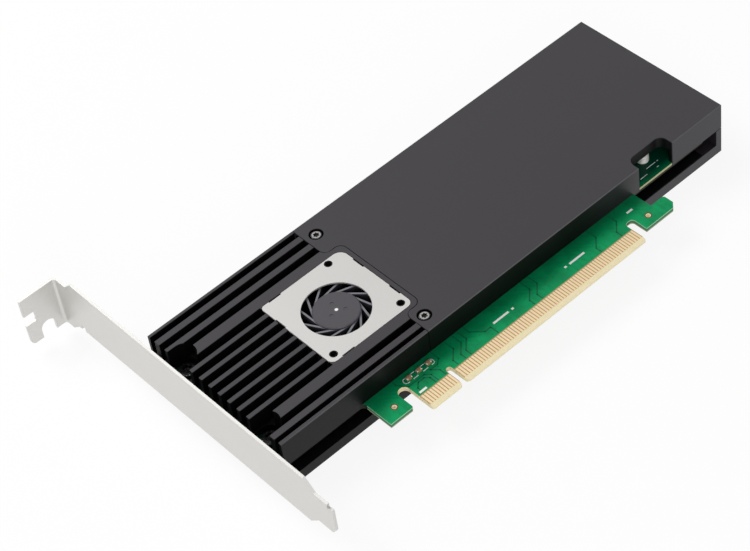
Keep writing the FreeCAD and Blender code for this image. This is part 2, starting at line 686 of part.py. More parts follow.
def drive_socket(bay_y, top):
    """Edge socket for one drive, its mouth facing the standoff."""
    x0, x1 = SOCKET_X
    half = SOCKET_WIDTH / 2
    inner = half - SOCKET_WALL
    low, high = MOUTH_Z
    key_low, key_high = SOCKET_KEY
    body = box(x0, x1, bay_y - half, bay_y + half, 0, SOCKET_HEIGHT)
    mouth = box(x1 - MOUTH_DEPTH, x1 + OVER, bay_y - inner, bay_y + inner, low, high)
    cheek = box(x1 - CHEEK_DEPTH, x1 + OVER, bay_y - inner, bay_y + inner, low, SOCKET_HEIGHT + OVER)
    key = box(x1 - MOUTH_DEPTH, x1, bay_y + key_low, bay_y + key_high, low, high)
    socket = cut(body, [mouth, cheek]).fuse(key).removeSplitter()
    return socket if top else to_solder_side(socket)


def drive_standoffs():
    """Flanged nuts soldered in the board, one per bay, standing out on both sides."""
    foot = -BOARD_THICK
    parts = []
    for x, y in STANDOFFS:
        upper = peg(x, y, STANDOFF_R, 0, STANDOFF_HEIGHT, HARDWARE_SIDES)
        stem = peg(x, y, STANDOFF_STEM_R, foot, 0)
        lower = peg(x, y, STANDOFF_R, foot - STANDOFF_HEIGHT, foot, HARDWARE_SIDES)
        bore = peg(x, y, STANDOFF_BORE_R, foot - STANDOFF_HEIGHT - OVER, STANDOFF_HEIGHT + OVER)
        parts.append(cut(fuse([upper, stem, lower]), [bore]))
    return group(parts)


def drive_screws():
    """Low screws left in the standoffs, ready for the drives."""
    parts = []
    for x, y in STANDOFFS:
        tip = STANDOFF_HEIGHT - DRIVE_SHANK
        screw = socket_screw(x, y, DRIVE_HEAD, STANDOFF_BORE_R, STANDOFF_HEIGHT, tip)
        parts += [screw, to_solder_side(screw)]
    return group(parts)


def thermal_pads(top):
    """Soft pads stuck to the aluminium, one over each bay."""
    length, width = PAD_SIZE
    z0 = COVER_ROOF - PAD_DEPTH if top else TRAY_FLOOR
    middle = PAD_LEFT + length / 2
    return group([block_at(middle, y, (length, width, PAD_DEPTH), z0) for y in BAY_Y])


def ceramic_capacitors():
    """Three coupling capacitors beside the connector."""
    return group([block_at(x, y, CAPACITOR_SIZE, 0) for x, y in CAPACITORS])


def regulator_chips():
    """Two power converters on the solder side."""
    return group([to_solder_side(block_at(x, POWER_Y, CHIP_SIZE, 0)) for x in CHIP_X])


def power_inductors():
    """Two shielded coils beside the converters."""
    return group([to_solder_side(peg(x, POWER_Y, COIL_R, 0, COIL_HEIGHT)) for x in COIL_X])


def clock_chip():
    """Clock buffer on the solder side."""
    return to_solder_side(block_at(*CLOCK, CHIP_SIZE, 0))


def bulk_capacitors():
    """Block capacitors at the far end of the component side."""
    return group([block_at(BULK_X, y, BULK_SIZE, 0) for y in BULK_Y])


def status_lights():
    """Activity lights near the far end, one for each bay."""
    return group([block_at(LIGHT_X, y, LIGHT_SIZE, 0) for y in LIGHT_Y])


def fan_header():
    """Two-pin fan connector on the solder side."""
    length, width, height = HEADER_SIZE
    shroud = block_at(*HEADER, HEADER_SIZE, 0)
    inside = (length - 2 * HEADER_WALL, width - 2 * HEADER_WALL, height)
    return to_solder_side(shroud.cut(block_at(*HEADER, inside, HEADER_BASE)))


# ---------------------------------------------------------------- bracket

def slot_bracket():
    """Folded sheet: long strip, screw flange at the top, tongue at the foot and a side lip with two ears."""
    face = BRACKET_FACE
    back = face + SHEET
    low, high = STRIP_Z
    flange_low, flange_high = FLANGE_Z
    fold = FLANGE_TOP - BEND_R
    strip_low, strip_high = STRIP_Y
    nick_low, nick_high, nick_z = STRIP_NICK
    root_high, root_low = FLANGE_ROOT
    neck, tip = TONGUE_NECK, TONGUE_TIP
    tongue_low, tongue_high = TONGUE_Z
    hook = tip + TONGUE_HOOK
    step_out, step_in = (tongue_high - drop for drop in TONGUE_STEP)
    foot_run, foot_rise, foot_round = TONGUE_FOOT
    strip = [
        (fold, flange_low, 0), (fold, flange_high, 0), (root_high, flange_high, 0), (strip_high, high, 0),
        (strip_low, high, 0), (neck, tongue_high, 0), (hook, tongue_high, 0), (hook, step_in, 0),
        (tip, step_out, 0), (tip, tongue_low + foot_rise, foot_round),
        (tip + foot_run, tongue_low, foot_round), (neck, tongue_low, 0), (strip_low, low, 0),
        (nick_low, low, 0), (nick_low, nick_z, 0), (nick_high, nick_z, 0), (nick_high, low, 0),
        (*STRIP_SHOULDER, 0), (root_low, flange_low, 0)]
    plate = prism_along_x(strip, face, back)

    bend = post(0, 0, BEND_R, flange_low, flange_high)
    bend = bend.cut(post(0, 0, BEND_R - SHEET, flange_low - OVER, flange_high + OVER))
    bend = bend.common(box(0, BEND_R, 0, BEND_R, flange_low, flange_high))
    bend.translate(Vector(back - BEND_R, fold, 0))

    start = back - BEND_R
    end = FLANGE_END
    slot_x, slot_low, slot_high, slot_r = SCREW_SLOT
    notch_left, notch_right, notch_top, notch_r = SCREW_NOTCH
    flange = prism_along_y([
        (start, flange_high, 0), (end, flange_high, 0), (end, slot_high, 0), (slot_x, slot_high, slot_r),
        (slot_x, slot_low, slot_r), (end, slot_low, 0), (end, flange_low, FLANGE_ROUND),
        (notch_left, flange_low, 0), (notch_left, notch_top, notch_r), (notch_right, notch_top, notch_r),
        (notch_right, flange_low, 0), (start, flange_low, 0)], FLANGE_TOP - SHEET, FLANGE_TOP)

    side_lip = box(face, LIP_END, *LIP_Y, low, low + SHEET)
    ears = []
    for x, y in EAR_SCREWS:
        tip_x = x + EAR_HALF
        waist = x - EAR_ROUND + EAR_ROUND / 2
        ears.append(prism([
            (LIP_END - SHEET, y - EAR_ROOT, 0), (waist, y - EAR_HALF, EAR_ROUND / 2),
            (tip_x, y - EAR_HALF, EAR_ROUND), (tip_x, y + EAR_HALF, EAR_ROUND),
            (waist, y + EAR_HALF, EAR_ROUND / 2), (LIP_END - SHEET, y + EAR_ROOT, 0)], low, low + SHEET))
    blank = fuse([plate, bend, flange, side_lip] + ears)
    return cut(blank, screw_holes(EAR_SCREWS, NUT_STEM_R, low - OVER, low + SHEET + OVER))


def bracket_nuts():
    """Threaded nuts pressed in the ears, their collars against the board."""
    low = STRIP_Z[0]
    parts = []
    for x, y in EAR_SCREWS:
        stem = peg(x, y, NUT_STEM_R, low, low + SHEET)
        collar = peg(x, y, NUT_COLLAR_R, low + SHEET, -BOARD_THICK, HARDWARE_SIDES)
        parts.append(cut(fuse([stem, collar]), [peg(x, y, EAR_SCREW_R, low - OVER, OVER)]))
    return group(parts)


def bracket_screws():
    """Two screws down through the board into the bracket's nuts."""
    tip = STRIP_Z[0] + EAR_TIP_GAP
    return group([socket_screw(x, y, EAR_HEAD, EAR_SCREW_R, 0, tip) for x, y in EAR_SCREWS])


def build():
    """Every node of the card by name."""
    nodes = {
        "circuit_board": circuit_board(),
        "edge_contacts_top": edge_contacts(True),
        "edge_contacts_bottom": edge_contacts(False),
        "finned_heatsink": finned_heatsink(),
        "upper_cover": upper_cover(),
        "lower_shell": lower_shell(),
        "cover_screws": cover_screws(),
        "shell_screws": shell_screws(),
        "shell_spacers": shell_spacers(),
        "fan_frame": fan_frame(),
        "fan_top_plate": fan_top_plate(),
        "fan_screws": fan_screws(),
        "fan_impeller": fan_impeller(),
        "magnet_ring": magnet_ring(),
        "fan_shaft": fan_shaft(),
        "fan_bush": fan_bush(),
        "fan_stator": fan_stator(),
        "drive_standoffs": drive_standoffs(),
        "drive_screws": drive_screws(),
        "thermal_pads_top": thermal_pads(True),
        "thermal_pads_bottom": thermal_pads(False),
        "ceramic_capacitors": ceramic_capacitors(),
        "regulator_chips": regulator_chips(),
        "power_inductors": power_inductors(),
        "clock_chip": clock_chip(),
        "bulk_capacitors": bulk_capacitors(),
        "status_lights": status_lights(),
        "fan_header": fan_header(),
        "slot_bracket": slot_bracket(),
        "bracket_nuts": bracket_nuts(),
        "bracket_screws": bracket_screws(),
    }
    for row, bay_y in enumerate(BAY_Y, 1):
        nodes[f"drive_socket_top_{row}"] = drive_socket(bay_y, True)
        nodes[f"drive_socket_bottom_{row}"] = drive_socket(bay_y, False)
    return nodes


os.makedirs("parts", exist_ok=True)
for name, shape in build().items():
    shape.exportStep(f"parts/{name}.step")
    print(name, "valid" if shape.isValid() else "INVALID", len(shape.Solids), round(shape.Volume, 2))
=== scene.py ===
import json
import math

import bmesh
import bpy
from mathutils import Matrix, Vector


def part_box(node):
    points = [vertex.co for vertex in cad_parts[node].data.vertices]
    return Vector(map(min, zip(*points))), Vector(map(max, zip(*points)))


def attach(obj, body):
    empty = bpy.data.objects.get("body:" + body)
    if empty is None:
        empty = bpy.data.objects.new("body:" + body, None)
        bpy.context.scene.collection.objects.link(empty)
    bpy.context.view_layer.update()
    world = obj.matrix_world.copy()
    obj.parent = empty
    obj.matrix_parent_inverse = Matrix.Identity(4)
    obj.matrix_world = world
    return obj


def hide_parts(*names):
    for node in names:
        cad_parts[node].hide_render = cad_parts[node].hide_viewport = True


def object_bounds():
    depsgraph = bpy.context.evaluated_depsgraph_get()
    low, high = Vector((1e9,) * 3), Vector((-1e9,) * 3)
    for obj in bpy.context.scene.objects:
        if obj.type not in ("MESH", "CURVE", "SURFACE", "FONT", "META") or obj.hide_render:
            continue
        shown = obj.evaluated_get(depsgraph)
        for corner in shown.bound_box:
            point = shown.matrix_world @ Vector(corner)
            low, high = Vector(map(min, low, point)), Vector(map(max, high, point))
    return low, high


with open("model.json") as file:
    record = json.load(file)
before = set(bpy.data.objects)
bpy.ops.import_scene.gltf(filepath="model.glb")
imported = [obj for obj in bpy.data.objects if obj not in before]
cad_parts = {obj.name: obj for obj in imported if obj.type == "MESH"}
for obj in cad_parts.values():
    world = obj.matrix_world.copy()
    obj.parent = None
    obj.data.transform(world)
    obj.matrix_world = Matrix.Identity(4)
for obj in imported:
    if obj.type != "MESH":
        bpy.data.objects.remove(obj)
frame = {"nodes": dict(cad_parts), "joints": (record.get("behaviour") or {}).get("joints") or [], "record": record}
CAD_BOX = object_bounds()

bl_info = {
    "name": "Drive adapter card",
    "version": (1, 0, 0),
    "blender": (4, 5, 0),
    "location": "View3D > Sidebar > Drive card",
    "description": "Finishes and fine parts of a drive adapter card with a finned housing and a fan",
    "category": "Object",
}

MM = 0.001
BOARD_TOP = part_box("circuit_board")[1][2]
BOARD_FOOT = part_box("circuit_board")[0][2]
SHELL_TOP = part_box("upper_cover")[1][2]
SHELL_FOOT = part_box("lower_shell")[0][2]
VANE_TOP = 7.5 * MM
ROTOR = Vector(frame["joints"][0]["pos_m"])
UP = Vector((0, 0, 1))

LEVEL = 0.9                                                  # a face turned up further than this is level
SKIN = 0.3 * MM                                              # depth of an outer face of the housing
LOW_WALL, HIGH_WALL, END_WALL = 15.6 * MM, 72.3 * MM, 113.1 * MM    # just inside the walls: Y, Y, X
WALL_SHADE_FADE = (55 * MM, 90 * MM)                               # the painted shade on the low wall fades out between these X
TONGUE_ENDS, TONGUE_TOP = (-12.4 * MM, 72.4 * MM), 5.75 * MM
CONTACT_FOOT = 1.4 * MM                                      # bare laminate between here and the tips
SLOT_ENDS, SLOT_TOP = (-16.2 * MM, 73 * MM), 14 * MM         # the slots beside the tongue
TAB_HOLES = ((-19.4 * MM, 8.05 * MM), (79.4 * MM, 6.0 * MM))
HOLE, HOLE_RING = 0.78 * MM, 1.1 * MM                        # radii of the plated holes and their rings
HOLE_SHADE = 1.28 * MM                                             # radius of the painted black shade round the fan plate's screw holes
HOUSING_SHADE = (((8 * MM, 17 * MM), 0.62, (0.0, 0.06, 0.03)),      # painted shade on the mask toward the housing: Y, share, colour
          ((15.3 * MM, 18.5 * MM), 0.8, (0.0, 0.02, 0.016)))

# Printed marks and gaps in the copper, in millimetres on the board.
OUTLINE_ENDS = ((-11.75, 1), (-0.65, -1))                    # outermost X and which way the outline runs
OUTLINE_Y = (11.45, 13.35)
OUTLINE_DASHES = ((-8.9, -7.2), (-5.2, -3.5))
BARS = ((-11.3, -8.6, 6.6), (20.0, 26.0, 9.6), (27.2, 28.0, 9.6), (48.5, 49.3, 9.6), (50.5, 56.5, 9.6),
        (75.9, 78.2, 11.2))
FINE_BARS = ((88.6, 91.6, 17.7), (93.0, 96.8, 19.4), (97.4, 98.0, 19.4), (95.6, 96.4, 17.6))
GAP_FOOT, GAP_TOP = 6.2, 15.0
GAPS = (((-13.9, 14.8), (-13.9, 13.4), (-11.9, 10.4), (-6.0, 10.4), (-4.6, 9.0), (-4.6, GAP_FOOT)),
        ((-10.4, 7.2), (-10.4, 8.2), (-8.9, 9.6), (-6.8, 9.6), (-5.6, 8.4), (-5.6, GAP_FOOT)),
        ((-1.8, GAP_FOOT), (-1.8, 8.4), (-3.6, 10.4), (-0.8, 10.4), (0.8, 11.8), (0.8, GAP_TOP)),
        ((13.2, GAP_TOP), (13.2, 12.4), (16.4, 9.2), (18.6, 9.2), (18.6, GAP_FOOT)))
STEPPED_GAPS = (3.0, 6.0, 8.0, 33.0, 36.0, 60.0, 68.5)       # X at the contacts
STEP_LOW, STEP_HIGH = 8.2, 11.2

SHARP = math.radians(30)                                     # edges past this are bevelled and shaded sharp

# Screws: height of the head, radius of the shank, whether the recess gets a painted highlight.
SCREWS = {
    "cover_screws": (1.75 * MM, 1.25 * MM, True),
    "shell_screws": (1.7 * MM, 1.25 * MM, True),
    "bracket_screws": (1.8 * MM, 1.5 * MM, False),
    "fan_screws": (0.8 * MM, 0.7 * MM, False),
    "drive_screws": (0.9 * MM, 1.0 * MM, False),
}
SIDES = 48                                                   # of a turned piece
LOBES, LOBE_DEPTH = 6, 0.28                                  # of a recess; depth as a share of its radius
GROOVES, GROOVE_HEIGHT = (0.14, 0.3, 0.5), 0.06              # shares of a spacer's height

# Stage, in metres. Each lamp: name, place from the target, size, power as a multiple of the key.
FLOOR_SIZE, FLOOR_GAP = 8, 0.1 * MM
FLOOR_WHITE = 0.88                                           # how white the camera sees the floor
LAMPS = (("overhead", (-0.35, 0.75, 0.95), (0.9, 0.6), 3.4), ("side", (-0.6, -1.0, 0.45), (0.7, 0.7), 1.7))


# ---------------------------------------------------------------- sizes and colours

class CardSizes(bpy.types.PropertyGroup):
    """Sizes of the fine parts."""
    ink_height: bpy.props.FloatProperty(
        name="Ink height", description="Thickness of the printed marks", default=0.02 * MM, unit="LENGTH")
    ink_line: bpy.props.FloatProperty(
        name="Ink line", description="Width of the printed lines", default=0.2 * MM, unit="LENGTH")
    gap_line: bpy.props.FloatProperty(
        name="Copper gap", description="Width of the gaps between copper areas", default=0.36 * MM,
        unit="LENGTH")
    grain: bpy.props.FloatProperty(
        name="Blast grain", description="Grain of the blasted aluminium", default=0.3 * MM, unit="LENGTH")


class CardColours(bpy.types.PropertyGroup):
    """Colours of the finishes, in linear light."""
    anodise: bpy.props.FloatVectorProperty(
        name="Anodise", description="Black anodised aluminium", subtype="COLOR", size=3,
        default=(0.0125, 0.01, 0.014))
    # Painted shade: this darker anodise stands in for the shade in the channels and on the low wall.
    channel: bpy.props.FloatVectorProperty(
        name="Channel", description="Anodise inside the channels and on the walls", subtype="COLOR", size=3,
        default=(0.0032, 0.0032, 0.004))
    mask: bpy.props.FloatVectorProperty(
        name="Solder mask", description="Green over copper", subtype="COLOR", size=3,
        default=(0.0, 0.3, 0.1))
    laminate: bpy.props.FloatVectorProperty(
        name="Laminate", description="Bare glass laminate", subtype="COLOR", size=3,
        default=(0.8, 0.71, 0.46))
    gold: bpy.props.FloatVectorProperty(
        name="Gold", description="Contact plating", subtype="COLOR", size=3,
        default=(0.82, 0.65, 0.41))
    sheet: bpy.props.FloatVectorProperty(
        name="Bracket plating", description="Satin nickel on the bracket", subtype="COLOR", size=3,
        default=(0.66, 0.65, 0.625))
    plate: bpy.props.FloatVectorProperty(
        name="Fan plate", description="Pale plating on the fan plate", subtype="COLOR", size=3,
        default=(0.55, 0.54, 0.525))
    rotor: bpy.props.FloatVectorProperty(
        name="Rotor plastic", description="Dark grey plastic of the fan", subtype="COLOR", size=3,
        default=(0.05, 0.046, 0.054))


class CardStudio(bpy.types.PropertyGroup):
    """Camera and light of the stage."""
    lens: bpy.props.FloatProperty(
        name="Lens", description="Focal length", default=110.756, unit="CAMERA")
    azimuth: bpy.props.FloatProperty(
        name="Azimuth", description="Camera angle round the card", default=math.radians(-35.644),
        unit="ROTATION")
    elevation: bpy.props.FloatProperty(
        name="Elevation", description="Camera angle above the floor", default=math.radians(46.739),
        unit="ROTATION")
    roll: bpy.props.FloatProperty(
        name="Roll", description="Turn of the camera about its line of sight", default=math.radians(-9.282),
        unit="ROTATION")
    distance: bpy.props.FloatProperty(
        name="Distance", description="Camera distance from its target", default=0.66419, unit="LENGTH")
    target: bpy.props.FloatVectorProperty(
        name="Target", description="Point that the camera looks at", size=3, default=(0.01009, 0.0482, 0.0),
        subtype="TRANSLATION")
    sky: bpy.props.FloatProperty(
        name="Sky", description="Strength of the room's light", default=0.42)
    key: bpy.props.FloatProperty(
        name="Key", description="Power that the lamps are set from", default=3.2, unit="POWER")


def sizes():
    """Size settings."""
    return bpy.context.scene.card_sizes


def colours():
    """Colour settings."""
    return bpy.context.scene.card_colours


# ---------------------------------------------------------------- finishes

class Value:
    """Output of a shader node; arithmetic on it adds Math nodes to the same finish."""

    def __init__(self, finish, socket):
        self.finish = finish
        self.socket = socket

    def math(self, operation, *others):
        """Math node with this value first."""
        inputs = dict(enumerate((self,) + others))
        return self.finish.node("ShaderNodeMath", {"operation": operation}, inputs)

    def __add__(self, other):
        return self.math("ADD", other)

    def __sub__(self, other):
        return self.math("SUBTRACT", other)

    def __mul__(self, other):
        return self.math("MULTIPLY", other)

    def __truediv__(self, other):
        return self.math("DIVIDE", other)

    def __rsub__(self, other):
        return self.finish.node("ShaderNodeMath", {"operation": "SUBTRACT"}, {0: other, 1: self})

    __radd__ = __add__
    __rmul__ = __mul__

    def __gt__(self, other):
        return self.math("GREATER_THAN", other)

    def __lt__(self, other):
        return self.math("LESS_THAN", other)

    def between(self, low, high):
        """One inside the interval, else nought."""
        return (self > low) * (self < high)

    def ramp(self, low, high):
        """Rises smoothly from nought at low to one at high."""
        return self.finish.node("ShaderNodeMapRange", {"interpolation_type": "SMOOTHSTEP"},
                                {"Value": self, "From Min": low, "From Max": high})


class Finish:
    """One material: a principled shader with constant sockets and the patterns that feed it."""

    def __init__(self, name, **constants):
        self.material = bpy.data.materials.new("card_" + name)
        self.material.use_nodes = True
        self.tree = self.material.node_tree
        self.shader = self.tree.nodes["Principled BSDF"]
        for socket, value in constants.items():
            self.set(socket.replace("_", " ").title().replace("Ior", "IOR"), value)

    def set(self, socket, value):
        """Constant or pattern on one of the shader's sockets."""
        self.feed(self.shader.inputs[socket], value)

    def feed(self, socket, value):
        """Link or number on a socket."""
        if isinstance(value, Value):
            self.tree.links.new(value.socket, socket)
        elif socket.type == "RGBA" and len(value) == 3:
            socket.default_value = (*value, 1)
        else:
            socket.default_value = value

    def node(self, kind, settings=None, inputs=None, output=0):
        """Any node: its settings first, then its sockets; gives one output."""
        made = self.tree.nodes.new(kind)
        for name, value in (settings or {}).items():
            setattr(made, name, value)
        for name, value in (inputs or {}).items():
            self.feed(made.inputs[name], value)
        return Value(self, made.outputs[output])

    def place(self):
        """Object coordinates in metres."""
        return self.node("ShaderNodeTexCoord", output="Object")

    def axes(self, source=None):
        """X, Y and Z of a vector, by default of the place."""
        split = self.node("ShaderNodeSeparateXYZ", inputs={0: source or self.place()})
        outputs = split.socket.node.outputs
        return tuple(Value(self, outputs[axis]) for axis in "XYZ")

    def facing_up(self):
        """How far the surface faces up or down, from nought on a wall to one on a level face."""
        normal = self.node("ShaderNodeNewGeometry", output="True Normal")
        return self.axes(normal)[2].math("ABSOLUTE")

    def reach(self, centre):
        """Distance from an upright axis."""
        x, y = self.axes()[:2]
        east, north = x - centre[0], y - centre[1]
        return (east * east + north * north).math("SQRT")

    def noise(self, size, detail=2.0, rough=0.5, stretch=(1, 1, 1)):
        """Noise whose features are about one size in metres, stretched along an axis."""
        scaled = self.node("ShaderNodeVectorMath", {"operation": "MULTIPLY"},
                           {0: self.place(), 1: tuple(1 / (size * s) for s in stretch)})
        return self.node("ShaderNodeTexNoise", inputs={"Vector": scaled, "Scale": 1.0, "Detail": detail,
                                                       "Roughness": rough})

    def mix(self, mask, first, second):
        """Colour that turns from first to second where the mask is one."""
        made = self.tree.nodes.new("ShaderNodeMix")
        made.data_type = "RGBA"
        self.feed(made.inputs[0], mask)
        self.feed(made.inputs[6], first)
        self.feed(made.inputs[7], second)
        return Value(self, made.outputs[2])

    def bump(self, height, strength, depth):
        """Fine relief of a height pattern."""
        relief = self.node("ShaderNodeBump",
                           inputs={"Height": height, "Strength": strength, "Distance": depth})
        self.set("Normal", relief)


def shade(colour, factor):
    """Colour made lighter or darker."""
    return tuple(c * factor for c in colour[:3])


def anodised_finish():
    """Black anodised aluminium, blasted: painted shade darkens the channels and most of the low wall, and a
    painted highlight makes the edges of the level faces a little brighter.
    """
    outer = tuple(colours().anodise)
    painted_shade = tuple(colours().channel)
    edge_highlight = (0.075, 0.073, 0.08)
    f = Finish("black_anodise", ior=1.5)
    x, y, z = f.axes()
    # Painted shade: the channels and the low wall take the darker, more metallic anodise; on the low wall it fades
    # out toward the far end.
    level = (z > SHELL_TOP - SKIN) + (z < SHELL_FOOT + SKIN)
    walls = (y < LOW_WALL) * x.ramp(*WALL_SHADE_FADE) + (y > HIGH_WALL) + (x > END_WALL)
    unshaded = level.math("MAXIMUM", walls)
    # Painted highlight along the edges of the level faces.
    edge = f.facing_up().between(0.3, 0.95) * level
    grain = f.noise(sizes().grain, detail=3.0, rough=0.7)
    cloud = f.noise(14 * MM, detail=2.0)
    speck = grain.ramp(0.3, 0.72)
    tone = f.mix(speck, shade(outer, 0.72), shade(outer, 1.32))
    tone = f.mix(cloud.ramp(0.35, 0.7) * 0.25, tone, shade(outer, 1.25))
    tone = f.mix(unshaded, f.mix(speck, shade(painted_shade, 0.6), shade(painted_shade, 1.3)), tone)
    f.set("Base Color", f.mix(edge * 0.8, tone, edge_highlight))
    f.set("Metallic", 0.7 - unshaded * 0.7)
    f.set("Roughness", 0.42 + speck * 0.12)
    f.bump(grain, 0.3, 0.02 * MM)
    return f.material


def track_gaps(f, x, y):
    """One beside the pairs of tracks that leave the contacts straight and then lean over at 45 degrees."""
    lean = (y - 8.6 * MM).math("MAXIMUM", 0.0)
    across = ((x + lean) / (2.0 * MM)).math("FRACT")
    pairs = across.between(0.08, 0.16) + across.between(0.3, 0.38)
    bundle = f.noise(7 * MM, detail=0.0, stretch=(1, 6, 1)) > 0.5
    return pairs * bundle


def outline_tone(f, x, y, z):
    """Colour of the board's cut outline by depth: bare beside the housing; under the housing painted shade darkens
    its lower part, and before the key it is painted black shade.
    """
    below = BOARD_TOP - z
    open_edge = f.mix(below.ramp(0.15 * MM, 0.4 * MM), (0.4, 0.68, 0.46), (0.07, 0.2, 0.1))
    open_edge = f.mix(below.ramp(1.1 * MM, 1.35 * MM), open_edge, (0.42, 0.4, 0.3))
    # Painted shade: under the housing the lower part of the edge turns near black.
    covered_edge = f.mix(below.ramp(0.7 * MM, 0.9 * MM), (0.5, 0.47, 0.28), (0.03, 0.03, 0.02))
    covered = y > SLOT_TOP
    tone = f.mix(covered, open_edge, covered_edge)
    # Painted shade: near black under the housing before the key.
    return f.mix(covered * (x < 0.0), tone, (0.012, 0.014, 0.01))


def mask_finish():
    """Green solder mask over copper, bare laminate at the tongue and on the slots' walls; painted shade darkens
    the mask toward the housing and the laminate between the contact pads.
    """
    green = tuple(colours().mask)
    bare = tuple(colours().laminate)
    f = Finish("solder_mask", ior=1.5, specular_ior_level=0.15)
    x, y, z = f.axes()
    face = f.facing_up() > LEVEL
    tongue = (y < TONGUE_TOP) * x.between(*TONGUE_ENDS)
    cloud = f.noise(6 * MM, detail=3.0)
    weave = f.noise(0.5 * MM, detail=2.0, rough=0.6)
    threads = weave.ramp(0.35, 0.65)
    vias = f.node("ShaderNodeTexVoronoi", {"feature": "F1", "voronoi_dimensions": "2D"},
                  {"Vector": f.place(), "Scale": 1 / (3.1 * MM), "Randomness": 0.8})
    tone = f.mix(cloud.ramp(0.3, 0.7), shade(green, 0.8), shade(green, 1.15))
    tone = f.mix(track_gaps(f, x, y) * 0.3, tone, shade(green, 0.3))
    tone = f.mix((vias < 0.055) * 0.7, tone, shade(green, 0.4))
    # Painted shade of the housing on the mask, in bands along Y.
    for (low, high), share, colour in HOUSING_SHADE:
        tone = f.mix(y.ramp(low, high) * share, tone, colour)
    slots = (x.between(*SLOT_ENDS) * (y < SLOT_TOP)).math("MAXIMUM", tongue)
    edge = f.mix(slots, outline_tone(f, x, y, z), f.mix(threads, shade(bare, 0.85), shade(bare, 1.15)))
    for hole in TAB_HOLES:
        reach = f.reach(hole)
        tone = f.mix(reach < HOLE_RING, tone, (0.1, 0.06, 0.02))
        tone = f.mix(reach < HOLE, tone, (0.9, 0.76, 0.52))
        edge = f.mix(reach < HOLE, edge, (0.95, 0.85, 0.62))
    tip = f.mix(threads * 0.5, shade(bare, 1.12), shade(bare, 0.95))
    # Painted shade: brown between the contact pads on the tongue.
    shade_between_pads = f.mix((y > CONTACT_FOOT) * 0.85, tip, (0.36, 0.2, 0.08))
    top = f.mix(tongue, tone, shade_between_pads)
    f.set("Base Color", f.mix(face, f.mix(tongue * (y < CONTACT_FOOT), edge, tip), top))
    f.set("Roughness", 0.65 - face * (1 - tongue) * 0.35)
    f.bump(weave + cloud * 2, 0.1, 0.03 * MM)
    return f.material


def metal_finish(name, colour, rough, grain, stretch, metallic=1.0, shaded_holes=()):
    """Plated or ground metal with a fine grain along one direction, and painted black shade round the given screw
    holes.
    """
    f = Finish(name, metallic=metallic)
    streak = f.noise(grain, detail=3.0, rough=0.6, stretch=stretch)
    patch = f.noise(9 * MM, detail=2.0)
    tone = f.mix(streak.ramp(0.25, 0.75), shade(colour, 0.94), shade(colour, 1.04))
    tone = f.mix(patch.ramp(0.3, 0.7) * 0.3, tone, shade(colour, 0.96))
    # Painted black shade round the screw holes.
    for hole in shaded_holes:
        tone = f.mix(f.reach(hole) < HOLE_SHADE, tone, (0.003, 0.003, 0.003))
    f.set("Base Color", tone)
    f.set("Roughness", rough - 0.04 + streak * 0.08)
    f.bump(streak, 0.2, 0.008 * MM)
    return f.material


def gold_finish():
    """Thin gold over nickel, wiped along the card's insertion direction."""
    return metal_finish("gold_plate", tuple(colours().gold), 0.34, 0.12 * MM, (0.4, 6, 1), 0.9)


def black_steel_finish():
    """Black oxide on the screws, scuffed brighter in small patches."""
    f = Finish("black_steel", metallic=1.0)
    wear = f.noise(0.35 * MM, detail=3.0, rough=0.65)
    f.set("Base Color", f.mix(wear.ramp(0.55, 0.7), (0.02, 0.02, 0.021), (0.2, 0.19, 0.18)))
    f.set("Roughness", 0.3 + wear * 0.12)
    f.bump(wear, 0.15, 0.02 * MM)
    return f.material


def plastic_finish(name, colour, rough, size=0.12 * MM, gloss=0.5):
    """Moulded plastic with a fine texture."""
    f = Finish(name, ior=1.48, specular_ior_level=gloss)
    skin = f.noise(size, detail=2.0, rough=0.6)
    flow = f.noise(5 * MM, detail=1.0)
    tone = f.mix(skin.ramp(0.3, 0.7), shade(colour, 0.86), shade(colour, 1.12))
    f.set("Base Color", f.mix(flow.ramp(0.3, 0.7) * 0.3, tone, shade(colour, 1.12)))
    f.set("Roughness", rough + skin * 0.1)
    f.bump(skin, 0.2, 0.012 * MM)
    return f.material


def rotor_finish():
    """Moulded hub and vanes, with a painted highlight on the upper rims of the vanes and painted shade below them.
    """
    base = tuple(colours().rotor)
    f = Finish("hub_plastic", ior=1.48)
    z = f.axes()[2]
    # Painted highlight on the upper rims of the vanes.
    rim = z.between(VANE_TOP - 0.05 * MM, VANE_TOP + 0.05 * MM) * (f.facing_up() > LEVEL)
    # Painted shade below the vane tops.
    under = z < VANE_TOP - 0.4 * MM
    skin = f.noise(0.2 * MM, detail=2.0, rough=0.6)
    tone = f.mix(skin.ramp(0.3, 0.7), shade(base, 0.85), shade(base, 1.15))
    tone = f.mix(under * 0.6, tone, shade(base, 0.3))
    f.set("Base Color", f.mix(rim, tone, (0.17, 0.17, 0.195)))
    f.set("Roughness", 0.34 + skin * 0.1)
    f.bump(skin, 0.2, 0.012 * MM)
    return f.material


def chip_finish():
    """Moulded epoxy package."""
    return plastic_finish("chip_body", (0.018, 0.018, 0.02), 0.48, 0.09 * MM)


def pad_finish():
    """Soft silicone pad with ceramic filler specks."""
    f = Finish("thermal_pad", roughness=0.8, ior=1.4)
    speck = f.noise(0.2 * MM, detail=3.0, rough=0.7)
    f.set("Base Color", f.mix(speck.ramp(0.4, 0.65), (0.2, 0.23, 0.29), (0.34, 0.37, 0.43)))
    f.bump(f.noise(1.5 * MM) + speck, 0.3, 0.05 * MM)
    return f.material


def ferrite_finish():
    """Pressed ferrite powder."""
    return plastic_finish("ferrite", (0.07, 0.07, 0.075), 0.55, 0.2 * MM)


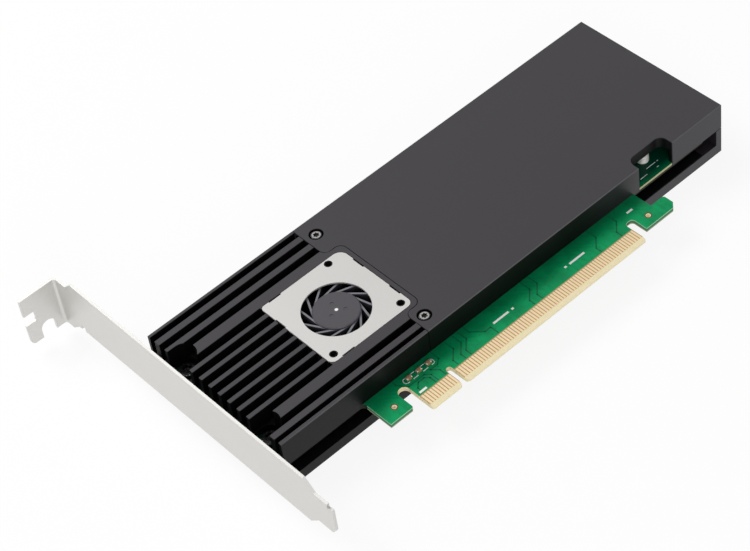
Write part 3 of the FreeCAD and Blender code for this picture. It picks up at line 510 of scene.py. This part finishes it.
def gap_finish():
    """Mask where the copper under it is etched away."""
    f = Finish("mask_gap", roughness=0.3, specular_ior_level=0.2)
    tone = f.noise(1.0 * MM, detail=2.0)
    f.set("Base Color", f.mix(tone.ramp(0.3, 0.7), (0.0, 0.1, 0.045), (0.0, 0.14, 0.06)))
    f.bump(tone, 0.1, 0.01 * MM)
    return f.material


def shaft_finish():
    """Ground end of the shaft, bright in the middle."""
    f = Finish("shaft_end", metallic=1.0, roughness=0.25)
    outer = f.reach(ROTOR).ramp(0.4 * MM, 0.6 * MM)
    f.set("Base Color", f.mix(outer, (0.85, 0.85, 0.84), (0.12, 0.12, 0.125)))
    f.bump(f.noise(0.1 * MM), 0.1, 0.01 * MM)
    return f.material


def ink_finish():
    """White epoxy ink, slightly thin in places."""
    f = Finish("white_ink", roughness=0.6)
    thin = f.noise(0.3 * MM, detail=2.0)
    f.set("Base Color", f.mix(thin.ramp(0.5, 0.75) * 0.5, (0.95, 0.96, 0.94), (0.7, 0.76, 0.71)))
    f.bump(thin, 0.2, 0.01 * MM)
    return f.material


def copper_wire_finish():
    """Enamelled copper wire, wound side by side."""
    f = Finish("stator_winding", metallic=1.0)
    wire = 0.16 * MM
    turn = (f.axes()[2] * (2 * math.pi / wire)).math("SINE")
    f.set("Base Color", f.mix(turn.ramp(-1, 1), (0.25, 0.07, 0.025), (0.72, 0.3, 0.13)))
    f.set("Roughness", 0.3 + turn * 0.05)
    f.bump(turn, 0.5, 0.04 * MM)
    return f.material


def lens_finish():
    """Yellowish resin over a light."""
    return plastic_finish("light_lens", (0.62, 0.58, 0.4), 0.2, 0.3 * MM)


def ceramic_finish():
    """Fired ceramic, warm brown."""
    return plastic_finish("ceramic", (0.34, 0.2, 0.09), 0.42, 0.15 * MM)


MAKERS = {
    "black_anodise": anodised_finish,
    "solder_mask": mask_finish,
    "gold_plate": gold_finish,
    "black_steel": black_steel_finish,
    "bright_steel": lambda: metal_finish("bright_steel", (0.6, 0.6, 0.58), 0.28, 0.2 * MM, (1, 1, 0.2)),
    # Painted highlight in the screw recesses.
    "highlight_steel": lambda: metal_finish("highlight_steel", (0.33, 0.32, 0.31), 0.4, 0.12 * MM, (1, 1, 1)),
    "spacer_nickel": lambda: metal_finish(
        "spacer_nickel", (0.8, 0.79, 0.76), 0.4, 0.2 * MM, (1, 1, 0.2), 0.4),
    "solder": lambda: metal_finish("solder", (0.6, 0.56, 0.5), 0.4, 0.5 * MM, (1, 1, 1)),
    "bracket_steel": lambda: metal_finish(
        "bracket_steel", tuple(colours().sheet), 0.4, 0.16 * MM, (1, 1, 1), 0.75),
    "fan_plate_steel": lambda: metal_finish(
        "fan_plate_steel", tuple(colours().plate), 0.42, 0.15 * MM, (1, 1, 1), 0.6,
        shaded_holes=[(low + high) / 2 for low, high in solids_of("fan_screws")]),
    "black_plastic": lambda: plastic_finish("black_plastic", (0.006, 0.006, 0.007), 0.5, gloss=0.15),
    "pale_plastic": lambda: plastic_finish("pale_plastic", (0.6, 0.57, 0.48), 0.4),
    "hub_plastic": rotor_finish,
    "magnet": lambda: plastic_finish("magnet", (0.03, 0.028, 0.028), 0.5),
    "bronze": lambda: metal_finish("bronze", (0.5, 0.33, 0.16), 0.4, 0.1 * MM, (1, 1, 1)),
    "stator_winding": copper_wire_finish,
    "thermal_pad": pad_finish,
    "chip_body": chip_finish,
    "ferrite": ferrite_finish,
    "ceramic": ceramic_finish,
    "light_lens": lens_finish,
    "white_ink": ink_finish,
    "mask_gap": gap_finish,
    "shaft_end": shaft_finish,
}


def finish(name):
    """The named finish, made when it is first asked for."""
    return bpy.data.materials.get("card_" + name) or MAKERS[name]()


def dress(*nodes, look=None):
    """Gives CAD nodes a finish, by default that of their own material slot."""
    slots = {part["node"]: part["material_slot"] for part in frame["record"]["subparts"]}
    for node in nodes:
        made = finish(look or slots[node])
        piece = frame["nodes"][node]
        for index in range(len(piece.material_slots)):
            piece.material_slots[index].material = made


# ---------------------------------------------------------------- modelling

def deselect():
    """Nothing selected, object mode."""
    if bpy.context.object and bpy.context.object.mode != "OBJECT":
        bpy.ops.object.mode_set(mode="OBJECT")
    bpy.ops.object.select_all(action="DESELECT")


def solids_of(node):
    """Lowest and highest corner of each separate solid of a CAD node, sorted by place."""
    mesh = bmesh.new()
    mesh.from_mesh(frame["nodes"][node].data)
    bmesh.ops.remove_doubles(mesh, verts=mesh.verts, dist=1e-6)
    waiting = set(mesh.verts)
    boxes = []
    while waiting:
        front = [waiting.pop()]
        found = []
        while front:
            vertex = front.pop()
            found.append(vertex.co.copy())
            for edge in vertex.link_edges:
                other = edge.other_vert(vertex)
                if other in waiting:
                    waiting.remove(other)
                    front.append(other)
        low = Vector([min(p[i] for p in found) for i in range(3)])
        high = Vector([max(p[i] for p in found) for i in range(3)])
        boxes.append((low, high))
    mesh.free()
    return sorted(boxes, key=lambda b: tuple(round(c, 5) for c in b[0]))


def turned(profile):
    """Turned piece about the Z axis, grown ring by ring from its foot; the profile is (radius, height)."""
    deselect()
    radius, height = profile[0]
    bpy.ops.mesh.primitive_circle_add(vertices=SIDES, radius=radius, fill_type="NGON",
                                      location=(0, 0, height))
    piece = bpy.context.object
    bpy.ops.object.mode_set(mode="EDIT")
    bpy.ops.mesh.select_all(action="SELECT")
    for next_radius, next_height in profile[1:]:
        rise = (0, 0, next_height - height)
        bpy.ops.mesh.extrude_region_move(TRANSFORM_OT_translate={"value": rise})
        factor = next_radius / radius
        bpy.ops.transform.resize(value=(factor, factor, 1), center_override=(0, 0, next_height))
        radius, height = next_radius, next_height
    bpy.ops.mesh.select_all(action="SELECT")
    bpy.ops.mesh.normals_make_consistent(inside=False)
    bpy.ops.object.mode_set(mode="OBJECT")
    bpy.ops.object.transform_apply(location=True, rotation=True, scale=True)
    return piece


def soften(piece, width, segments):
    """Bevel on every sharp edge."""
    bevel = piece.modifiers.new("soft_edges", "BEVEL")
    bevel.width = width
    bevel.segments = segments
    bevel.limit_method = "ANGLE"
    bevel.angle_limit = SHARP
    bpy.context.view_layer.objects.active = piece
    bpy.ops.object.modifier_apply(modifier="soft_edges")


def block(low, high, bevel, segments=2):
    """Block between two corners with softened edges."""
    deselect()
    low, high = Vector(low), Vector(high)
    bpy.ops.mesh.primitive_cube_add(size=1, location=(low + high) / 2, scale=high - low)
    piece = bpy.context.object
    bpy.ops.object.transform_apply(location=True, rotation=True, scale=True)
    soften(piece, bevel, segments)
    return piece


def copied(piece, place):
    """Copy with its own mesh, put in its place."""
    twin = piece.copy()
    twin.data = piece.data.copy()
    bpy.context.scene.collection.objects.link(twin)
    twin.data.transform(place)
    return twin


def joined(parts):
    """Several modelled parts as one piece."""
    deselect()
    for part in parts:
        part.select_set(True)
    bpy.context.view_layer.objects.active = parts[0]
    if len(parts) > 1:
        bpy.ops.object.join()
    return bpy.context.object


def settle(piece, name, look, body="card", smooth=True):
    """Name, finish, slot and body of a finished piece; with no look it keeps the finishes that it has."""
    deselect()
    piece.select_set(True)
    bpy.context.view_layer.objects.active = piece
    bpy.ops.object.transform_apply(location=True, rotation=True, scale=True)
    if smooth:
        bpy.ops.object.shade_smooth_by_angle(angle=SHARP)
    piece.name = name
    piece.data.name = name
    if look:
        piece.data.materials.clear()
        piece.data.materials.append(finish(look))
    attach(piece, body)
    return piece


def driver_head(radius, height, shank, length, lit_recess):
    """Screw with its seat at the origin: rounded rim, lobed recess that may get a painted highlight, shank below.
    """
    rim = 0.12 * radius
    land = 0.78 * radius
    recess = 0.58 * radius
    depth = 0.38 * height
    profile = [(shank, -length), (shank, 0), (radius - rim * 0.4, 0), (radius, rim * 0.4),
               (radius, height - rim), (radius - rim * 0.35, height - rim * 0.3),
               (radius - rim * 1.2, height), (land, height), (recess, height),
               (recess * 0.97, height - depth), (recess * 0.3, height - depth * 1.1)]
    screw = turned(profile)
    for vertex in screw.data.vertices:
        flat = Vector((vertex.co.x, vertex.co.y))
        inside = flat.length < recess * 1.01 and vertex.co.z > height - depth * 1.05
        if inside and flat.length > recess * 0.9:
            wave = 0.5 - 0.5 * math.cos(LOBES * math.atan2(flat.y, flat.x))
            vertex.co.x *= 1 - LOBE_DEPTH * wave
            vertex.co.y *= 1 - LOBE_DEPTH * wave
    screw.data.materials.append(finish("black_steel"))
    if lit_recess:
        screw.data.materials.append(finish("highlight_steel"))
    for face in screw.data.polygons:
        centre = face.center
        reach = Vector((centre.x, centre.y)).length
        # Painted highlight: the upper recess and the land round it take the brighter steel.
        in_highlight = recess * 0.8 < reach < radius * 0.72 and centre.z > height - depth * 0.9
        face.material_index = 1 if lit_recess and in_highlight else 0
    return screw


def screws_for(node):
    """Lobed screws in the places of a node's plain ones; the middle of a screw tells which way up it is."""
    height, shank, lit_recess = SCREWS[node]
    boxes = solids_of(node)
    low, high = boxes[0]
    model = driver_head((high.x - low.x) / 2, height, shank, high.z - low.z - height, lit_recess)
    parts = []
    for low, high in boxes:
        up = (low.z + high.z) / 2 > 0.75 * BOARD_FOOT
        seat = high.z - height if up else low.z + height
        place = Matrix.Translation(((low.x + high.x) / 2, (low.y + high.y) / 2, seat))
        parts.append(copied(model, place if up else place @ Matrix.Rotation(math.pi, 4, "X")))
    bpy.data.objects.remove(model)
    piece = settle(joined(parts), node + "_turned", None)
    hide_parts(node)


def grooved_spacers():
    """Spacers with turned grooves in the places of the plain ones."""
    boxes = solids_of("shell_spacers")
    low, high = boxes[0]
    radius, height = (high.x - low.x) / 2, high.z - low.z
    soft, waist = 0.08 * radius, 0.7 * radius
    profile = [(radius - soft, 0), (radius, soft)]
    for groove in GROOVES:
        foot, top = groove * height, (groove + GROOVE_HEIGHT) * height
        profile += [(radius, foot - soft), (radius - soft, foot), (waist, foot + soft),
                    (waist, top - soft), (radius - soft, top), (radius, top + soft)]
    model = turned(profile + [(radius, height - soft), (radius - soft, height)])
    spacers = [copied(model, Matrix.Translation(((low.x + high.x) / 2, (low.y + high.y) / 2, low.z)))
               for low, high in boxes]
    bpy.data.objects.remove(model)
    piece = settle(joined(spacers), "shell_spacers_turned", "spacer_nickel")
    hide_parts("shell_spacers")


def strip(points, width, thickness):
    """Flat line along a few points on the board, in millimetres."""
    parts = []
    for start, end in zip(points, points[1:]):
        start, end = Vector(start) * MM, Vector(end) * MM
        run = end - start
        far = (run.length + width / 2, width / 2, thickness)
        part = block((-width / 2, -width / 2, 0), far, thickness * 0.3, 1)
        turn = Matrix.Rotation(math.atan2(run.y, run.x), 4, "Z")
        part.data.transform(Matrix.Translation((start.x, start.y, BOARD_TOP)) @ turn)
        parts.append(part)
    return joined(parts)


def ink_bar(first, last, y, half):
    """Printed bar along X, in millimetres; half is half of its width."""
    height = sizes().ink_height
    low = (first * MM, (y - half) * MM, BOARD_TOP)
    return block(low, (last * MM, (y + half) * MM, BOARD_TOP + height), height * 0.4, 1)


def capped(node, share):
    """Bodies and tinned ends of a node's block capacitors; an end takes this share of the length."""
    bodies = []
    ends = []
    for low, high in solids_of(node):
        size = high - low
        along = 0 if size.x > size.y else 1
        cap = size[along] * share
        lift = 0.04 * size.z
        body_low, body_high = low.copy(), high.copy()
        body_low[along] += cap * 0.8
        body_high[along] -= cap * 0.8
        body_high.z -= lift
        bodies.append(block(body_low, body_high, 0.06 * size.z))
        for side in (0, 1):
            end_low, end_high = low.copy(), high.copy()
            if side:
                end_low[along] = high[along] - cap
            else:
                end_high[along] = low[along] + cap
            ends.append(block(end_low, end_high, 0.12 * size.z, 3))
    piece = settle(joined(bodies), node + "_bodies", "ceramic")
    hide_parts(node)
    settle(joined(ends), node + "_ends", "solder")


# ---------------------------------------------------------------- operators

class CARD_OT_housing(bpy.types.Operator):
    """Finish of the heatsink, the cover, the lower shell and the thermal pads"""
    bl_idname = "card.housing"
    bl_label = "Housing"

    def execute(self, context):
        dress("finned_heatsink", "upper_cover", "lower_shell", "thermal_pads_top", "thermal_pads_bottom")
        return {"FINISHED"}


class CARD_OT_fan(bpy.types.Operator):
    """Fan: plate, frame, rotor, magnet, shaft, bush and wound stator"""
    bl_idname = "card.fan"
    bl_label = "Fan"

    def execute(self, context):
        dress("fan_frame", "fan_top_plate", "fan_impeller", "fan_bush", "fan_stator", "magnet_ring")
        dress("fan_shaft", look="shaft_end")
        return {"FINISHED"}


class CARD_OT_board(bpy.types.Operator):
    """Circuit board and its gold contacts"""
    bl_idname = "card.board"
    bl_label = "Board"

    def execute(self, context):
        dress("circuit_board", "edge_contacts_top", "edge_contacts_bottom")
        return {"FINISHED"}


class CARD_OT_printing(bpy.types.Operator):
    """White outlines and bars printed on the board, and the gaps etched between copper areas"""
    bl_idname = "card.printing"
    bl_label = "Printing"

    def execute(self, context):
        line, thickness = sizes().ink_line, sizes().ink_height
        low, high = OUTLINE_Y
        marks = []
        for tip, turn in OUTLINE_ENDS:
            ends = [(tip + turn * 1.3, low), (tip + turn * 0.5, low), (tip, low + 0.5), (tip, high - 0.5),
                    (tip + turn * 0.5, high), (tip + turn * 1.3, high)]
            marks.append(strip(ends, line, thickness))
        for first, last in OUTLINE_DASHES:
            for y in OUTLINE_Y:
                marks.append(strip(((first, y), (last, y)), line, thickness))
        marks += [ink_bar(*bar, 0.35) for bar in BARS]
        marks += [ink_bar(*bar, 0.1) for bar in FINE_BARS]
        settle(joined(marks), "board_marks", "white_ink", smooth=False)

        run = STEP_HIGH - STEP_LOW
        stepped = [((x, GAP_FOOT), (x, STEP_LOW), (x + run, STEP_HIGH), (x + run, GAP_TOP))
                   for x in STEPPED_GAPS]
        lines = [strip(points, sizes().gap_line, 0.5 * thickness) for points in (*GAPS, *stepped)]
        settle(joined(lines), "copper_gaps", "mask_gap", smooth=False)
        return {"FINISHED"}


class CARD_OT_board_parts(bpy.types.Operator):
    """Parts soldered to the board"""
    bl_idname = "card.board_parts"
    bl_label = "Board parts"

    def execute(self, context):
        dress("regulator_chips", "clock_chip", "power_inductors", "status_lights", "fan_header",
              "drive_standoffs", "drive_socket_top_1", "drive_socket_top_2", "drive_socket_bottom_1",
              "drive_socket_bottom_2")
        capped("ceramic_capacitors", 0.26)
        capped("bulk_capacitors", 0.2)
        return {"FINISHED"}


class CARD_OT_bracket(bpy.types.Operator):
    """Slot bracket with its pressed nuts"""
    bl_idname = "card.bracket"
    bl_label = "Bracket"

    def execute(self, context):
        dress("slot_bracket", "bracket_nuts")
        return {"FINISHED"}


class CARD_OT_screws(bpy.types.Operator):
    """Screws with lobed recesses and grooved spacers in place of the plain ones"""
    bl_idname = "card.screws"
    bl_label = "Screws"

    def execute(self, context):
        for node in SCREWS:
            screws_for(node)
        grooved_spacers()
        return {"FINISHED"}


class CARD_OT_stage(bpy.types.Operator):
    """Floor, lights, room and camera"""
    bl_idname = "card.stage"
    bl_label = "Stage"

    def execute(self, context):
        studio = context.scene.card_studio
        deselect()
        bpy.ops.mesh.primitive_plane_add(size=FLOOR_SIZE, location=(0, 0, CAD_BOX[0][2] - FLOOR_GAP))
        floor = context.object
        floor.name = "floor"
        floor.data.materials.append(floor_finish())
        room_light(studio.sky)
        centre = Vector(studio.target)
        for name, offset, size, share in LAMPS:
            lamp(name, centre + Vector(offset), centre, size, studio.key * share)
        camera(studio)
        return {"FINISHED"}


def floor_finish():
    """Pale floor with a soft shadow: white to the camera and in reflections, clear from below."""
    f = Finish("floor", roughness=0.9, base_color=(0.9, 0.9, 0.9))
    path = f.node("ShaderNodeLightPath")
    rays = path.socket.node.outputs
    seen = Value(f, rays["Is Camera Ray"]).math("MAXIMUM", Value(f, rays["Is Glossy Ray"]))
    seen = seen.math("MAXIMUM", Value(f, rays["Is Transmission Ray"]))
    glow = f.node("ShaderNodeEmission", inputs={"Color": (1, 1, 1), "Strength": 1.0})
    blend = f.node("ShaderNodeMixShader", inputs={0: seen * FLOOR_WHITE, 1: Value(f, f.shader.outputs[0]),
                                                   2: glow})
    below = f.node("ShaderNodeNewGeometry", output="Backfacing") * Value(f, rays["Is Camera Ray"])
    clear = f.node("ShaderNodeBsdfTransparent")
    blend = f.node("ShaderNodeMixShader", inputs={0: below, 1: blend, 2: clear})
    output = f.tree.nodes["Material Output"]
    f.tree.links.new(blend.socket, output.inputs["Surface"])
    return f.material


def room_light(strength):
    """Even white room; the camera and reflections see it at full white."""
    world = bpy.data.worlds.new("room")
    bpy.context.scene.world = world
    world.use_nodes = True
    tree = world.node_tree
    shell = tree.nodes["Background"]
    shell.inputs["Color"].default_value = (1, 1, 1, 1)
    shell.inputs["Strength"].default_value = strength
    path = tree.nodes.new("ShaderNodeLightPath")
    white = tree.nodes.new("ShaderNodeBackground")
    white.inputs["Color"].default_value = (1, 1, 1, 1)
    mixed = tree.nodes.new("ShaderNodeMixShader")
    seen = tree.nodes.new("ShaderNodeMath")
    seen.operation = "MAXIMUM"
    tree.links.new(path.outputs["Is Camera Ray"], seen.inputs[0])
    tree.links.new(path.outputs["Is Glossy Ray"], seen.inputs[1])
    tree.links.new(seen.outputs[0], mixed.inputs[0])
    tree.links.new(shell.outputs[0], mixed.inputs[1])
    tree.links.new(white.outputs[0], mixed.inputs[2])
    tree.links.new(mixed.outputs[0], tree.nodes["World Output"].inputs["Surface"])


def lamp(name, place, aim, size, power):
    """Soft rectangular light aimed at a point."""
    data = bpy.data.lights.new(name, "AREA")
    data.shape = "RECTANGLE"
    data.size, data.size_y = size
    data.energy = power
    light = bpy.data.objects.new(name, data)
    bpy.context.scene.collection.objects.link(light)
    light.location = place
    light.rotation_euler = (aim - place).to_track_quat("-Z", "Y").to_euler()


def camera(studio):
    """Camera at the studio's angle, turned about its line of sight."""
    azimuth, elevation = studio.azimuth, studio.elevation
    back = Vector((math.sin(azimuth) * math.cos(elevation), -math.cos(azimuth) * math.cos(elevation),
                   math.sin(elevation)))
    level = (-back).cross(UP).normalized()
    upright = level.cross(-back)
    right = level * math.cos(studio.roll) + upright * math.sin(studio.roll)
    top = back.cross(right)
    data = bpy.data.cameras.new("camera")
    data.lens = studio.lens
    eye = bpy.data.objects.new("camera", data)
    bpy.context.scene.collection.objects.link(eye)
    turn = Matrix((right, top, back)).transposed().to_4x4()
    eye.matrix_world = Matrix.Translation(Vector(studio.target) + back * studio.distance) @ turn
    bpy.context.scene.camera = eye


STEPS = ("housing", "fan", "board", "printing", "board_parts", "bracket", "screws", "stage")


class CARD_PT_panel(bpy.types.Panel):
    """Drive card tools"""
    bl_label = "Drive card"
    bl_idname = "CARD_PT_panel"
    bl_space_type = "VIEW_3D"
    bl_region_type = "UI"
    bl_category = "Drive card"

    def draw(self, context):
        for step in STEPS:
            self.layout.operator("card." + step)
        for group in (context.scene.card_sizes, context.scene.card_colours, context.scene.card_studio):
            for name in group.__annotations__:
                self.layout.prop(group, name)


CLASSES = (CardSizes, CardColours, CardStudio, CARD_OT_housing, CARD_OT_fan, CARD_OT_board,
           CARD_OT_printing, CARD_OT_board_parts, CARD_OT_bracket, CARD_OT_screws, CARD_OT_stage,
           CARD_PT_panel)


def register():
    """Adds the classes and their settings."""
    for cls in CLASSES:
        bpy.utils.register_class(cls)
    bpy.types.Scene.card_sizes = bpy.props.PointerProperty(type=CardSizes)
    bpy.types.Scene.card_colours = bpy.props.PointerProperty(type=CardColours)
    bpy.types.Scene.card_studio = bpy.props.PointerProperty(type=CardStudio)


def unregister():
    """Takes the classes and their settings out again."""
    del bpy.types.Scene.card_studio
    del bpy.types.Scene.card_colours
    del bpy.types.Scene.card_sizes
    for cls in reversed(CLASSES):
        bpy.utils.unregister_class(cls)


def main():
    """Builds every piece and the stage."""
    register()
    scene = bpy.context.scene
    scene.view_settings.view_transform = "Standard"
    for step in STEPS:
        getattr(bpy.ops.card, step)()


if __name__ == "__main__":
    main()
